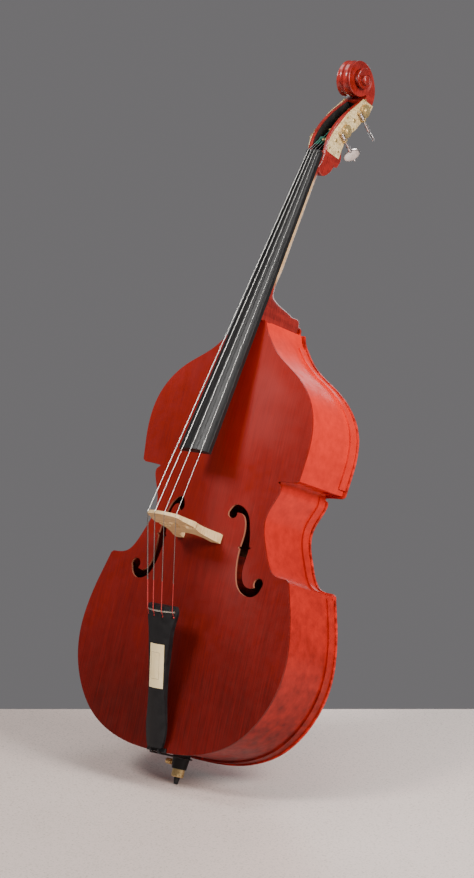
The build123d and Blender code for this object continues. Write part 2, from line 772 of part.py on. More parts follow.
for name, (radius, side, place) in strings.items():
    centre = head_plane.origin + head_up * place + head_in * roller_k(place)
    with BuildPart() as roller:
        with BuildSketch(Plane(origin=centre + Vector(-side * (cheek_half - 0.5), 0, 0), z_dir=(side, 0, 0))):
            Circle(shaft_radius)
        extrude(amount=cheek_half - 0.5 + machine_x + gear_width / 2 + 1)
        with BuildSketch(Plane(origin=centre - Vector(side * (slot_half - 0.6), 0, 0), z_dir=(side, 0, 0))):
            Circle(barrel_radius)
        extrude(amount=2 * (slot_half - 0.6))
    save(roller, f"roller_{name}")

    with BuildPart() as gear:
        with BuildSketch(Plane(origin=centre + Vector(machine_x * side - gear_width / 2, 0, 0),
                               x_dir=head_in, z_dir=(1, 0, 0))):
            Circle(gear_root)
            with PolarLocations(0, gear_teeth, start_angle=180 / gear_teeth):
                Polygon((gear_root - 0.5, -1.0), (gear_tip, -0.7), (gear_tip, 0.7), (gear_root - 0.5, 1.0),
                        align=None)
            Circle(shaft_radius + 0.02, mode=Mode.SUBTRACT)
        extrude(amount=gear_width)
    save(gear, f"gear_{name}")

    # The worm's thread stands in the gear's gap that faces it
    to_gear = head_up * side
    worm_s = place - side * (gear_radius + worm_radius)
    mid = head_plane.origin + head_up * worm_s + head_in * roller_k(place) + Vector(side * machine_x, 0, 0)
    with BuildPart() as worm:
        with BuildSketch(Plane(origin=mid - head_in * worm_end, z_dir=head_in)):
            Circle(stem_radius)
        extrude(amount=worm_end + key_reach - 17.1)
        with BuildSketch(Plane(origin=mid - head_in * 11.5, z_dir=head_in)):
            Circle(thread_root)
        extrude(amount=23)
        start = Plane(origin=mid - head_in * 2 * pitch, x_dir=to_gear, z_dir=head_in)
        add(thread.part.moved(start.location))
    save(worm, f"worm_{name}")

    # An oval paddle on the end of the stem
    turned = math.radians(paddle_turns[name])
    across = Vector(math.cos(turned), 0, 0) + head_up * math.sin(turned)
    normal = across.cross(head_in)
    off_edge = across + normal
    with BuildPart() as key:
        with BuildSketch(Plane(origin=mid + head_in * key_reach - normal * 2, x_dir=across, z_dir=normal)):
            Ellipse(24, 16.5)
        extrude(amount=4)
        with BuildSketch(Plane(origin=mid + head_in * (key_reach - 26), x_dir=off_edge, z_dir=head_in)):
            Circle(5.2)
        extrude(amount=13.4)
        with BuildSketch(Plane(origin=mid + head_in * (key_reach + 14), x_dir=off_edge, z_dir=head_in)):
            Circle(3.3)
        extrude(amount=5.5)
        with BuildSketch(Plane(origin=mid + head_in * (key_reach - 30), x_dir=off_edge, z_dir=head_in)):
            Circle(stem_radius + 0.02)
        extrude(amount=13, mode=Mode.SUBTRACT)
    save(key, f"key_{name}")

# ---- Endpin: plug in the end block, ferrule, thumbscrew, and the rod that slides in them
plug_top, plug_low = body_z + 50.0, 37.5
collar_top = body_z + 7.9
screw_z = 52.0
thumb_radius = 3.0
with BuildPart() as endpin_plug:
    with BuildSketch(Plane.XY.offset(plug_low)):
        with Locations((0, pin_y)):
            Circle(18.5)
    with BuildSketch(Plane.XY.offset(collar_top)):
        with Locations((0, pin_y)):
            Circle(23.3)
    loft()
    with BuildSketch(Plane.XY.offset(collar_top)):
        with Locations((0, pin_y)):
            Circle(plug_radius)
    extrude(amount=plug_top - collar_top)
    with BuildSketch(Plane.XY.offset(plug_low - 1)):
        with Locations((0, pin_y)):
            Circle(rod_radius + running)
    extrude(amount=plug_top - plug_low + 2, mode=Mode.SUBTRACT)
    with BuildSketch(Plane(origin=(0, pin_y, screw_z), z_dir=(-1, 0, 0))):
        Circle(thumb_radius + running)
    extrude(amount=40, mode=Mode.SUBTRACT)
save(endpin_plug, "endpin_plug")

ferrule_low = 17.0
with BuildPart() as endpin_ferrule:
    with BuildSketch(Plane.XY.offset(ferrule_low)):
        with Locations((0, pin_y)):
            Circle(16)
            Circle(rod_radius + running, mode=Mode.SUBTRACT)
    extrude(amount=plug_low - ferrule_low - 0.02)
    chamfer(endpin_ferrule.edges().group_by(Axis.Z)[0].sort_by(Edge.length)[-1], 2)
save(endpin_ferrule, "endpin_ferrule")

with BuildPart() as thumbscrew:
    with BuildSketch(Plane(origin=(-rod_radius - 0.1, pin_y, screw_z), z_dir=(-1, 0, 0))):
        Circle(thumb_radius)
    extrude(amount=20)
    with BuildSketch(Plane(origin=(-24, pin_y, screw_z), z_dir=(-1, 0, 0))):
        Circle(5)
    extrude(amount=4)
    with BuildSketch(Plane(origin=(-28, pin_y, screw_z), z_dir=(-1, 0, 0))):
        with PolarLocations(0, 16):
            Rectangle(15, 1.6)
        Circle(7)
    extrude(amount=15)
save(thumbscrew, "thumbscrew")

tip_top = 16.5
with BuildPart() as endpin_rod:
    with BuildSketch(Plane.XY.offset(6)):
        with Locations((0, pin_y)):
            Circle(rod_radius)
    extrude(amount=rod_length)
save(endpin_rod, "endpin_rod")

with BuildPart() as endpin_tip:
    with BuildSketch(Plane.XY):
        with Locations((0, pin_y)):
            Circle(5.5)
    with BuildSketch(Plane.XY.offset(tip_top)):
        with Locations((0, pin_y)):
            Circle(7.8)
    loft()
    with BuildSketch(Plane.XY.offset(5.98)):
        with Locations((0, pin_y)):
            Circle(rod_radius + 0.02)
    extrude(amount=20, mode=Mode.SUBTRACT)
save(endpin_tip, "endpin_tip")
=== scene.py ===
import json
import math

import bmesh
import bpy
import numpy as np
from mathutils import Matrix, Vector

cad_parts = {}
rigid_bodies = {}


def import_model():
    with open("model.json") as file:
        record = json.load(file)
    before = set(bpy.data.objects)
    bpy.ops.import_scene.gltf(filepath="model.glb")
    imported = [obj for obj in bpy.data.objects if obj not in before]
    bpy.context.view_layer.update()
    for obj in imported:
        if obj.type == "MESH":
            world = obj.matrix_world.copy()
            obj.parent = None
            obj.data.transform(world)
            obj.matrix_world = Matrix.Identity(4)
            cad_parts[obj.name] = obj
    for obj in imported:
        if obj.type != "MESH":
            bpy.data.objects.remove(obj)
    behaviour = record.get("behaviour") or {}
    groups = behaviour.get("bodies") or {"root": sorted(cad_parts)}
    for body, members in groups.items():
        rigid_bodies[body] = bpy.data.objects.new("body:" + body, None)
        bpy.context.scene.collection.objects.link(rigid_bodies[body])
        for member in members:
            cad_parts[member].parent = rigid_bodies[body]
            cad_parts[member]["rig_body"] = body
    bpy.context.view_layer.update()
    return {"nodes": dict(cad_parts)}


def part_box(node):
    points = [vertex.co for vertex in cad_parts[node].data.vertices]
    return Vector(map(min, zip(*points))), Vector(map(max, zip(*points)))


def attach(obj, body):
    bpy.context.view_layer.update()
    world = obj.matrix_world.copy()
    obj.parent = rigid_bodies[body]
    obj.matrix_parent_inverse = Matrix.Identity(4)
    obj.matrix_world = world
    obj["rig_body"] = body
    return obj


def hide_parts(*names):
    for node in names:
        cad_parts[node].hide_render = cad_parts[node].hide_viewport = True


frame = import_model()

# The body's lower front edge, in metres from the endpin's tip
bodyFront, bodyBottom = -0.1025, 0.070


# Mesh helpers
def addMesh(name, points, faces, material, body, sharpAngle=40):
    # points is (n, 3), faces a list of index arrays, each of quads or triangles
    mesh = bpy.data.meshes.new(name)
    corners = [face for block in faces for face in block.tolist()]
    mesh.from_pydata(points.tolist(), [], corners)
    piece = bpy.data.objects.new(name, mesh)
    bpy.context.scene.collection.objects.link(piece)
    shape = bmesh.new()
    shape.from_mesh(mesh)
    bmesh.ops.remove_doubles(shape, verts=shape.verts, dist=0.000002)
    bmesh.ops.recalc_face_normals(shape, faces=shape.faces)
    shape.to_mesh(mesh)
    shape.free()
    mesh.shade_smooth()
    mesh.set_sharp_from_angle(angle=math.radians(sharpAngle))
    mesh.materials.append(material)
    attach(piece, body)
    return piece


def gridFaces(rows, columns, start=0, closed=False):
    # quads between neighbouring rows and columns of a grid; closed joins the last column to the first
    row, column = np.meshgrid(np.arange(rows - 1), np.arange(columns - (0 if closed else 1)), indexing="ij")
    right = (column + 1) % columns
    quads = np.stack([row * columns + column, row * columns + right,
                      (row + 1) * columns + right, (row + 1) * columns + column], -1)
    return quads.reshape(-1, 4) + start


def capFan(rows, columns, start=0):
    # triangles that close the first and last ring of a closed grid, each round a middle point added after it
    ring = np.arange(columns)
    after = (ring + 1) % columns
    last = (rows - 1) * columns
    middle = rows * columns
    low = np.stack([ring, np.full(columns, middle), after], -1)
    high = np.stack([ring + last, after + last, np.full(columns, middle + 1)], -1)
    return np.concatenate([low, high]) + start


def closedLoft(rings):
    # rings is (rows, columns, 3): a closed skin through the rings with both ends filled
    rows, columns = rings.shape[:2]
    points = np.concatenate([rings.reshape(-1, 3), rings[0].mean(0)[None], rings[-1].mean(0)[None]])
    return points, [gridFaces(rows, columns, closed=True), capFan(rows, columns)]


def joined(parts):
    # several (points, faces) as one
    allPoints, allFaces, start = [], [], 0
    for points, faces in parts:
        allPoints.append(points)
        allFaces += [block + start for block in faces]
        start += len(points)
    return np.concatenate(allPoints), allFaces


def tube(path, radius, around=10):
    # a ring square to the path's tangent at each of its points, turned least from point to point
    path = np.asarray(path, float)
    tangent = np.gradient(path, axis=0)
    tangent /= np.linalg.norm(tangent, axis=1, keepdims=True)
    guide = np.array([0.31, 0.77, 0.55])
    first = np.cross(tangent, guide)
    first /= np.linalg.norm(first, axis=1, keepdims=True)
    second = np.cross(tangent, first)
    angle = np.linspace(0, 2 * math.pi, around, endpoint=False)
    ring = first[:, None] * np.cos(angle)[None, :, None] + second[:, None] * np.sin(angle)[None, :, None]
    size = np.broadcast_to(np.asarray(radius, float).reshape(-1, 1, 1), (len(path), 1, 1))
    return closedLoft(path[:, None] + ring * size)


def turned(profile, origin, axis, around=40):
    # a profile of (distance along, radius) carried once round an axis
    profile = np.asarray(profile, float)
    axis = np.asarray(axis, float) / np.linalg.norm(axis)
    side = np.cross(axis, [0.3, 0.2, 0.9])
    side /= np.linalg.norm(side)
    other = np.cross(axis, side)
    angle = np.linspace(0, 2 * math.pi, around, endpoint=False)
    ring = side[None] * np.cos(angle)[:, None] + other[None] * np.sin(angle)[:, None]
    rings = np.asarray(origin) + axis * profile[:, :1, None] + ring[None] * profile[:, 1:, None]
    return closedLoft(rings)


def smoothThrough(knots, at):
    # a curve through (place, value) knots whose slope at a knot is that of its neighbours' chord
    knots = np.asarray(knots, float)
    x, y = knots[:, 0], knots[:, 1:]
    slope = np.gradient(y, x, axis=0)
    i = np.clip(np.searchsorted(x, at, side="right") - 1, 0, len(x) - 2)
    width = (x[i + 1] - x[i])[:, None]
    t = ((np.clip(at, x[0], x[-1]) - x[i]))[:, None] / width
    value = ((1 + 2 * t) * (1 - t) ** 2 * y[i] + t * (1 - t) ** 2 * width * slope[i]
             + t * t * (3 - 2 * t) * y[i + 1] + t * t * (t - 1) * width * slope[i + 1])
    return value[:, 0] if value.shape[1] == 1 else value


# Material helpers
def startMaterial(name):
    material = bpy.data.materials.new(name)
    material.use_nodes = True
    nodes, links = material.node_tree.nodes, material.node_tree.links
    shader = nodes["Principled BSDF"]
    place = nodes.new("ShaderNodeTexCoord").outputs["Object"]
    return material, nodes, links, shader, place


def stretched(nodes, links, place, scale):
    mapping = nodes.new("ShaderNodeMapping")
    mapping.inputs["Scale"].default_value = scale
    links.new(place, mapping.inputs["Vector"])
    return mapping.outputs["Vector"]


def noise(nodes, links, vector, scale, detail=4, roughness=0.55):
    texture = nodes.new("ShaderNodeTexNoise")
    texture.inputs["Scale"].default_value = scale
    texture.inputs["Detail"].default_value = detail
    texture.inputs["Roughness"].default_value = roughness
    links.new(vector, texture.inputs["Vector"])
    return texture.outputs["Fac"]


def ramp(nodes, links, factor, stops):
    colours = nodes.new("ShaderNodeValToRGB")
    elements = colours.color_ramp.elements
    while len(elements) < len(stops):
        elements.new(0.5)
    for element, (position, colour) in zip(elements, stops):
        element.position = position
        element.color = (*colour, 1)
    links.new(factor, colours.inputs["Fac"])
    return colours.outputs["Color"]


def ranged(nodes, links, value, low, high, toLow=0.0, toHigh=1.0, smooth=False):
    spread = nodes.new("ShaderNodeMapRange")
    if smooth:
        spread.interpolation_type = "SMOOTHSTEP"
    for socket, number in (("From Min", low), ("From Max", high), ("To Min", toLow), ("To Max", toHigh)):
        spread.inputs[socket].default_value = number
    links.new(value, spread.inputs["Value"])
    return spread.outputs["Result"]


def mixed(nodes, links, factor, first, second):
    # first and second are sockets or plain colours; factor is a socket or a number
    mix = nodes.new("ShaderNodeMix")
    mix.data_type = "RGBA"
    for socket, value in ((mix.inputs[0], factor), (mix.inputs[6], first), (mix.inputs[7], second)):
        if isinstance(value, (int, float)):
            socket.default_value = value
        elif isinstance(value, tuple):
            socket.default_value = (*value, 1)
        else:
            links.new(value, socket)
    return mix.outputs[2]


def bump(nodes, links, shader, height, strength, distance):
    relief = nodes.new("ShaderNodeBump")
    relief.inputs["Strength"].default_value = strength
    relief.inputs["Distance"].default_value = distance
    links.new(height, relief.inputs["Height"])
    links.new(relief.outputs["Normal"], shader.inputs["Normal"])


def axisOf(nodes, links, place, axis):
    split = nodes.new("ShaderNodeSeparateXYZ")
    links.new(place, split.inputs[0])
    return split.outputs[axis]


# Varnished wood
varnish = {
    "topDark": (0.050, 0.0026, 0.0016), "topBright": (0.335, 0.0135, 0.0075),
    "ribDark": (0.12, 0.006, 0.004), "ribBright": (0.88, 0.034, 0.018),
    "headDark": (0.13, 0.007, 0.005), "headBright": (0.36, 0.021, 0.014),
    "mapleDark": (0.50, 0.30, 0.145), "mapleBright": (0.74, 0.52, 0.30),
    "roughness": 0.38, "specular": 0.18, "coat": 0.08, "coatRoughness": 0.16,
    "clouding": 0.22, "bareWood": (0.34, 0.12, 0.07),
    "neckRedBelow": 1.262, "neckRedAbove": 1.566,   # heights where the bare neck fades into red
}


def holeEdge(nodes, links, split):
    # 1 on the bare cut walls of the f-holes: faces that look sideways, nearer the middle than a limit that
    # widens below the waist
    away = nodes.new("ShaderNodeMath")
    away.operation = "ABSOLUTE"
    links.new(split.outputs[0], away.inputs[0])
    limit = ranged(nodes, links, split.outputs[2], 0.48, 0.60, 0.25, 0.165)
    near = nodes.new("ShaderNodeMath")
    near.operation = "LESS_THAN"
    links.new(away.outputs[0], near.inputs[0])
    links.new(limit, near.inputs[1])
    normal = nodes.new("ShaderNodeSeparateXYZ")
    links.new(nodes.new("ShaderNodeTexCoord").outputs["Normal"], normal.inputs[0])
    facing = nodes.new("ShaderNodeMath")
    facing.operation = "ABSOLUTE"
    links.new(normal.outputs[1], facing.inputs[0])
    sideways = ranged(nodes, links, facing.outputs[0], 0.35, 0.6, 1, 0)
    low = ranged(nodes, links, split.outputs[2], 0.46, 0.465)
    high = ranged(nodes, links, split.outputs[2], 0.725, 0.73, 1, 0)
    factor = near.outputs[0]
    for other in (sideways, low, high):
        both = nodes.new("ShaderNodeMath")
        both.operation = "MULTIPLY"
        links.new(factor, both.inputs[0])
        links.new(other, both.inputs[1])
        factor = both.outputs[0]
    return factor


def varnishedMaterial(name, dark, bright, grain, flame, flameStrength, fade=0.0, bareHoles=False):
    # fine grain along the board, slow clouding, and flame bands across it; fade lightens it up the body,
    # partly the varnish's own shading and partly painted light for the lamps falling brighter on the upper
    # body
    material, nodes, links, shader, place = startMaterial(name)
    fine = noise(nodes, links, stretched(nodes, links, place, grain), 1.0, 6, 0.62)
    cloud = noise(nodes, links, place, 5.5, 3, 0.5)
    bands = noise(nodes, links, stretched(nodes, links, place, flame), 1.0, 3, 0.5)
    grainTone = ranged(nodes, links, fine, 0.2, 0.8)
    tone = mixed(nodes, links, varnish["clouding"], grainTone, ranged(nodes, links, cloud, 0.3, 0.7))
    tone = mixed(nodes, links, flameStrength, tone, ranged(nodes, links, bands, 0.38, 0.62))
    split = nodes.new("ShaderNodeSeparateXYZ")
    links.new(place, split.inputs[0])
    # partly painted light: the colour grows lighter with height, standing in for brighter light on the upper
    # body as well as the varnish's own shading
    tone = mixed(nodes, links, fade, tone, ranged(nodes, links, split.outputs[2], 0.15, 1.15))
    colour = ramp(nodes, links, tone, [(0.12, dark), (0.9, bright)])
    if bareHoles:
        colour = mixed(nodes, links, holeEdge(nodes, links, split), colour, varnish["bareWood"])
    links.new(colour, shader.inputs["Base Color"])
    dust = noise(nodes, links, place, 38, 5, 0.6)
    rough = varnish["roughness"]
    links.new(ranged(nodes, links, dust, 0.35, 0.75, rough - 0.05, rough + 0.12), shader.inputs["Roughness"])
    shader.inputs["Specular IOR Level"].default_value = varnish["specular"]
    shader.inputs["Coat Weight"].default_value = varnish["coat"]
    shader.inputs["Coat Roughness"].default_value = varnish["coatRoughness"]
    bump(nodes, links, shader, fine, 0.12, 0.0004)
    return material


# fade of 0.5 on the top and 0.6 on the ribs is partly painted light: darker low on the body, lighter high up
topVarnish = varnishedMaterial("topVarnish", varnish["topDark"], varnish["topBright"],
                               (520, 90, 9), (7, 7, 3), 0.1, 0.5, True)
backVarnish = varnishedMaterial("backVarnish", varnish["ribDark"], varnish["ribBright"],
                                (160, 60, 7), (4, 4, 75), 0.35)
ribVarnish = varnishedMaterial("ribVarnish", varnish["ribDark"], varnish["ribBright"],
                               (40, 40, 40), (26, 5, 26), 0.12, 0.6)


def neckMaterial():
    # bare maple between the heel and the chin, red varnish beyond
    material, nodes, links, shader, place = startMaterial("neckMaple")
    height = axisOf(nodes, links, place, "Z")
    fine = noise(nodes, links, stretched(nodes, links, place, (300, 300, 11)), 1.0, 6, 0.6)
    bands = noise(nodes, links, stretched(nodes, links, place, (7, 7, 70)), 1.0, 2, 0.5)
    flames = ranged(nodes, links, bands, 0.35, 0.65)
    tone = mixed(nodes, links, 0.35, ranged(nodes, links, fine, 0.3, 0.7), flames)
    bare = ramp(nodes, links, tone, [(0.1, varnish["mapleDark"]), (0.9, varnish["mapleBright"])])
    red = ramp(nodes, links, tone, [(0.1, varnish["headDark"]), (0.9, varnish["headBright"])])
    worn = noise(nodes, links, place, 26, 4, 0.55)
    shaken = nodes.new("ShaderNodeMath")
    shaken.operation = "MULTIPLY_ADD"
    shaken.inputs[1].default_value = 0.022
    links.new(worn, shaken.inputs[0])
    links.new(height, shaken.inputs[2])
    lowEdge, highEdge = varnish["neckRedBelow"], varnish["neckRedAbove"]
    low = ranged(nodes, links, shaken.outputs[0], lowEdge, lowEdge + 0.05, 1, 0, True)
    high = ranged(nodes, links, shaken.outputs[0], highEdge, highEdge + 0.035, 0, 1, True)
    both = nodes.new("ShaderNodeMath")
    both.operation = "MAXIMUM"
    links.new(low, both.inputs[0])
    links.new(high, both.inputs[1])
    links.new(mixed(nodes, links, both.outputs[0], bare, red), shader.inputs["Base Color"])
    links.new(ranged(nodes, links, both.outputs[0], 0, 1, 0.42, 0.27), shader.inputs["Roughness"])
    shader.inputs["Coat Weight"].default_value = 0.25
    shader.inputs["Coat Roughness"].default_value = 0.14
    bump(nodes, links, shader, fine, 0.1, 0.0003)
    return material


neckMaple = neckMaterial()


# Other finishes
def grainedMaterial(name, dark, bright, scale, roughness, relief=0.15, metallic=0.0, specular=0.5):
    # two tones mixed by stretched noise, with the same noise in roughness and relief
    material, nodes, links, shader, place = startMaterial(name)
    fine = noise(nodes, links, stretched(nodes, links, place, scale), 1.0, 6, 0.6)
    links.new(ramp(nodes, links, fine, [(0.32, dark), (0.7, bright)]), shader.inputs["Base Color"])
    links.new(ranged(nodes, links, fine, 0.3, 0.7, roughness[0], roughness[1]), shader.inputs["Roughness"])
    shader.inputs["Metallic"].default_value = metallic
    shader.inputs["Specular IOR Level"].default_value = specular
    bump(nodes, links, shader, fine, relief, 0.0003)
    return material


bareSpruce = grainedMaterial("bareSpruce", (0.50, 0.35, 0.20), (0.72, 0.55, 0.34), (260, 60, 8), (0.5, 0.68))
bridgeMaple = grainedMaterial("bridgeMaple", (0.62, 0.40, 0.17), (0.84, 0.62, 0.33), (24, 240, 60),
                              (0.42, 0.6), 0.2)
ebony = grainedMaterial("ebonyBoard", (0.006, 0.006, 0.0065), (0.017, 0.016, 0.016), (330, 330, 12),
                        (0.34, 0.5), 0.12, specular=0.32)
satinBlack = grainedMaterial("satinBlack", (0.005, 0.005, 0.006), (0.012, 0.012, 0.013), (60, 60, 60),
                             (0.44, 0.58), 0.1, specular=0.28)
gearBrass = grainedMaterial("gearBrass", (0.52, 0.35, 0.13), (0.84, 0.64, 0.31), (200, 200, 200),
                            (0.24, 0.42), 0.15, metallic=0.75)


def engravedBrass():
    # pale gold plate whose engraving is the dark lines between rounded cells, warped into curls
    material, nodes, links, shader, place = startMaterial("engravedBrass")
    curls = nodes.new("ShaderNodeTexVoronoi")
    curls.feature = "DISTANCE_TO_EDGE"
    curls.inputs["Scale"].default_value = 95
    warp = nodes.new("ShaderNodeTexNoise")
    warp.inputs["Scale"].default_value = 60
    links.new(place, warp.inputs["Vector"])
    links.new(mixed(nodes, links, 0.03, place, warp.outputs["Color"]), curls.inputs["Vector"])
    cut = ranged(nodes, links, curls.outputs["Distance"], 0.02, 0.10)
    tarnish = noise(nodes, links, place, 45, 4, 0.6)
    metal = ramp(nodes, links, tarnish, [(0.3, (0.84, 0.61, 0.29)), (0.7, (1.0, 0.81, 0.46))])
    links.new(mixed(nodes, links, cut, (0.52, 0.36, 0.15), metal), shader.inputs["Base Color"])
    links.new(ranged(nodes, links, tarnish, 0.3, 0.7, 0.3, 0.46), shader.inputs["Roughness"])
    shader.inputs["Metallic"].default_value = 0.25
    bump(nodes, links, shader, cut, 0.35, 0.0004)
    return material


plateBrass = engravedBrass()
keyNickel = grainedMaterial("keyNickel", (0.55, 0.50, 0.48), (0.80, 0.75, 0.73), (90, 90, 90),
                            (0.14, 0.3), 0.05, metallic=1.0)
fretMetal = grainedMaterial("fretMetal", (0.60, 0.57, 0.48), (0.84, 0.80, 0.70), (90, 90, 90),
                            (0.2, 0.34), 0.05, metallic=1.0)
tipRubber = grainedMaterial("tipRubber", (0.008, 0.008, 0.008), (0.02, 0.02, 0.02), (160, 160, 160),
                            (0.6, 0.8), 0.2)
rodBlack = grainedMaterial("rodBlack", (0.010, 0.010, 0.011), (0.03, 0.03, 0.032), (60, 60, 400),
                           (0.25, 0.4), 0.05, metallic=0.6)
slotBlack = grainedMaterial("slotBlack", (0.006, 0.005, 0.005), (0.018, 0.014, 0.012), (90, 90, 20),
                            (0.5, 0.7))


def stringMaterial(name, silkLow, silkHigh, lowEnd, highEnd):
    # flat-wound steel with fine rings, and coloured silk at both ends
    material, nodes, links, shader, place = startMaterial(name)
    height = axisOf(nodes, links, place, "Z")
    winding = nodes.new("ShaderNodeTexWave")
    winding.bands_direction = "Z"
    winding.inputs["Scale"].default_value = 520
    winding.inputs["Distortion"].default_value = 0.2
    links.new(place, winding.inputs["Vector"])
    steel = ramp(nodes, links, winding.outputs["Fac"], [(0.0, (0.20, 0.20, 0.19)), (1.0, (0.50, 0.49, 0.47))])
    low = ranged(nodes, links, height, lowEnd, lowEnd + 0.002, 1, 0)
    high = ranged(nodes, links, height, highEnd, highEnd + 0.002, 0, 1)
    cloth = noise(nodes, links, place, 900, 2, 0.5)
    lowSilk = ramp(nodes, links, cloth, [(0.3, tuple(c * 0.6 for c in silkLow)), (0.7, silkLow)])
    highSilk = ramp(nodes, links, cloth, [(0.3, tuple(c * 0.6 for c in silkHigh)), (0.7, silkHigh)])
    colour = mixed(nodes, links, high, mixed(nodes, links, low, steel, lowSilk), highSilk)
    links.new(colour, shader.inputs["Base Color"])
    wrapped = nodes.new("ShaderNodeMath")
    wrapped.operation = "MAXIMUM"
    links.new(low, wrapped.inputs[0])
    links.new(high, wrapped.inputs[1])
    links.new(ranged(nodes, links, wrapped.outputs[0], 0, 1, 1, 0), shader.inputs["Metallic"])
    links.new(ranged(nodes, links, wrapped.outputs[0], 0, 1, 0.3, 0.75), shader.inputs["Roughness"])
    bump(nodes, links, shader, winding.outputs["Fac"], 0.2, 0.0001)
    return material


silk = {"low": (0.60, 0.045, 0.04), "high": (0.03, 0.17, 0.12), "lowEnd": 0.476, "highEnd": 1.668}
windingSteel = stringMaterial("stringSteel", silk["low"], silk["high"], silk["lowEnd"], silk["highEnd"])


labelFrame = {"middle": (-0.16, 0.0), "half": (0.30, 0.30)}   # shares of the label


def labelMaterial():
    # aged cream paper with a thin brown frame printed in its middle
    material, nodes, links, shader, place = startMaterial("labelCream")
    low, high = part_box("tailpiece_label")
    split = nodes.new("ShaderNodeSeparateXYZ")
    links.new(place, split.inputs[0])

    def combined(operation, first, second):
        node = nodes.new("ShaderNodeMath")
        node.operation = operation
        for socket, value in zip(node.inputs, (first, second)):
            if isinstance(value, float):
                socket.default_value = value
            else:
                links.new(value, socket)
        return node.outputs[0]

    inner, outer = [], []
    for axis, which in ((0, 0), (2, 1)):
        half = (high[axis] - low[axis]) / 2
        middle = (low[axis] + high[axis]) / 2 + labelFrame["middle"][which] * half
        size = combined("ABSOLUTE", combined("SUBTRACT", split.outputs[axis], middle), 0.0)
        edge = labelFrame["half"][which] * half * 2
        inner.append(ranged(nodes, links, size, edge - 0.0007, edge - 0.0004))
        outer.append(ranged(nodes, links, size, edge, edge + 0.0003))
    line = combined("SUBTRACT", combined("MAXIMUM", *inner), combined("MAXIMUM", *outer))
    stain = noise(nodes, links, place, 60, 4, 0.6)
    paper = ramp(nodes, links, stain, [(0.3, (0.92, 0.72, 0.38)), (0.7, (1.0, 0.83, 0.48))])
    links.new(mixed(nodes, links, line, paper, (0.16, 0.09, 0.04)), shader.inputs["Base Color"])
    links.new(ranged(nodes, links, stain, 0.3, 0.7, 0.45, 0.6), shader.inputs["Roughness"])
    return material


labelCream = labelMaterial()
print("materials made")


# CAD nodes with their finish, and softened copies of the hard-edged ones
def finish(node, material):
    data = frame["nodes"][node].data
    data.materials.clear()
    data.materials.append(material)


nodeFinish = {
    "bareSpruce": ("inner_back_linings", "inner_top_linings", "neck_block", "end_block", "bass_bar",
                   "sound_post"),
    "windingSteel": ("string_e", "string_a", "string_d", "string_g"),
    "gearBrass": ("gear_e", "gear_a", "gear_d", "gear_g", "roller_e", "roller_a", "roller_d", "roller_g",
                  "worm_brackets", "plate_screws"),
    "keyNickel": ("worm_e", "worm_a", "worm_d", "worm_g"),
}
finishes = {
    "bareSpruce": bareSpruce, "windingSteel": windingSteel, "gearBrass": gearBrass, "keyNickel": keyNickel,
}
for finishName, members in nodeFinish.items():
    for node in members:
        finish(node, finishes[finishName])
finish("endpin_rod", rodBlack)
finish("tail_wire", rodBlack)
finish("corner_blocks", ribVarnish)     # their outer faces show between the ribs at the corners
finish("endpin_tip", tipRubber)
finish("tailpiece_label", labelCream)
finish("tailpiece_fret", fretMetal)


def softened(node, material, edge, segments=3, angle=34, sharpAngle=34):
    # a merged copy of a node with its hard edges rounded, in the node's place
    source = frame["nodes"][node]
    mesh = source.data.copy()
    mesh.name = node + "Soft"
    shape = bmesh.new()
    shape.from_mesh(mesh)
    bmesh.ops.remove_doubles(shape, verts=shape.verts, dist=0.00001)
    bmesh.ops.dissolve_degenerate(shape, dist=0.000005, edges=shape.edges)
    if edge:
        bmesh.ops.dissolve_limit(shape, angle_limit=math.radians(0.6), verts=shape.verts, edges=shape.edges,
                                 delimit={"NORMAL"})
    shape.to_mesh(mesh)
    shape.free()
    if "custom_normal" in mesh.attributes:
        mesh.attributes.remove(mesh.attributes["custom_normal"])
    mesh.shade_smooth()
    mesh.set_sharp_from_angle(angle=math.radians(sharpAngle))
    mesh.materials.clear()
    mesh.materials.append(material)
    piece = bpy.data.objects.new(node + "Soft", mesh)
    bpy.context.scene.collection.objects.link(piece)
    if edge:
        rounded = piece.modifiers.new("edges", "BEVEL")
        rounded.width = edge
        rounded.segments = segments
        rounded.limit_method = "ANGLE"
        rounded.angle_limit = math.radians(angle)
        rounded.harden_normals = True
        rounded.use_clamp_overlap = True
    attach(piece, source["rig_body"])
    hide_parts(node)
    return piece


softened("top_plate", topVarnish, 0.0014, 3, 50)
softened("back_plate", backVarnish, 0.0014, 3, 50)
for bout in ("lower", "waist", "upper"):
    for side in ("left", "right"):
        softened(f"rib_{bout}_{side}", ribVarnish, 0)
softened("outer_back_linings", ribVarnish, 0)
softened("fingerboard", ebony, 0.0012)
softened("nut", ebony, 0.0006)
softened("lower_saddle", ebony, 0.0012)
softened("tailpiece", satinBlack, 0.0012)
softened("bridge", bridgeMaple, 0.0008)
softened("machine_plate_left", plateBrass, 0.0005, 2)
softened("machine_plate_right", plateBrass, 0.0005, 2)
softened("endpin_plug", satinBlack, 0.0012)
softened("endpin_ferrule", gearBrass, 0.0006)
softened("thumbscrew", gearBrass, 0.0004, 2)
print("node finishes and softened copies made")

# Neck: shaft and heel as one skin, pegbox and scroll as others
neckShape = {
    "boardLean": 13.94, "headLean": 31.7,
    "seatHalf": 0.0218, "halfGrowth": 0.0301,
    "shaftThick": (0.0185, 0.029), "nutRun": 0.485,
    "heelHalf": 0.036, "buttonHalf": 0.0215,
    "along": 150, "around": 56,
}
boardLean, headLean = math.radians(neckShape["boardLean"]), math.radians(neckShape["headLean"])
# depth and height where the board passes the body's end
heelEdge = np.array([bodyFront - 0.0256, bodyBottom + 1.101])
runWay = np.array([math.sin(boardLean), math.cos(boardLean)])
seatWay = np.array([math.cos(boardLean), -math.sin(boardLean)])   # into the neck from the board
boardEdge = 0.013
headIn = np.array([0, math.cos(headLean), -math.sin(headLean)])
headUp = np.array([0, math.sin(headLean), math.cos(headLean)])
headStart = np.array([0, 0.107 + bodyFront, 1.587 + bodyBottom])


